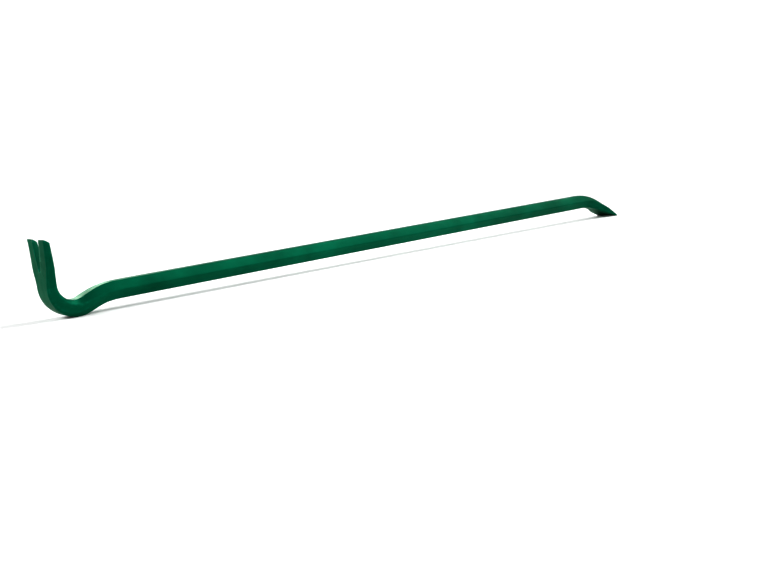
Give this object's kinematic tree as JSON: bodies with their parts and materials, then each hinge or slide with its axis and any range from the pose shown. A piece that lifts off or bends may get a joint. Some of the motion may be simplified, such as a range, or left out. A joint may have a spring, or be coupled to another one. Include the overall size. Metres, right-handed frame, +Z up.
{
  "type": "pry bar",
  "caption": "Gooseneck wrecking bar in green enamelled hexagonal steel, with a nail claw at one end and a bent chisel at the other.",
  "frame": {"origin": "bottom centre of the bounding box: on the surface the bar lies on, midway along its length", "axes": "+X along the bar from the claw to the chisel, +Z up as the bar rests on its heel and its chisel edge with the claw pointing up, Y across the bar"},
  "size_m": [0.9008, 0.039, 0.0789],
  "materials": {
    "green_enamel": "semi-gloss green enamel on forged steel, with a slight orange peel and the soft unevenness of the forging under it"
  },
  "bodies": {
    "root": {"pry_bar": "green_enamel"}
  },
  "joints": []
}
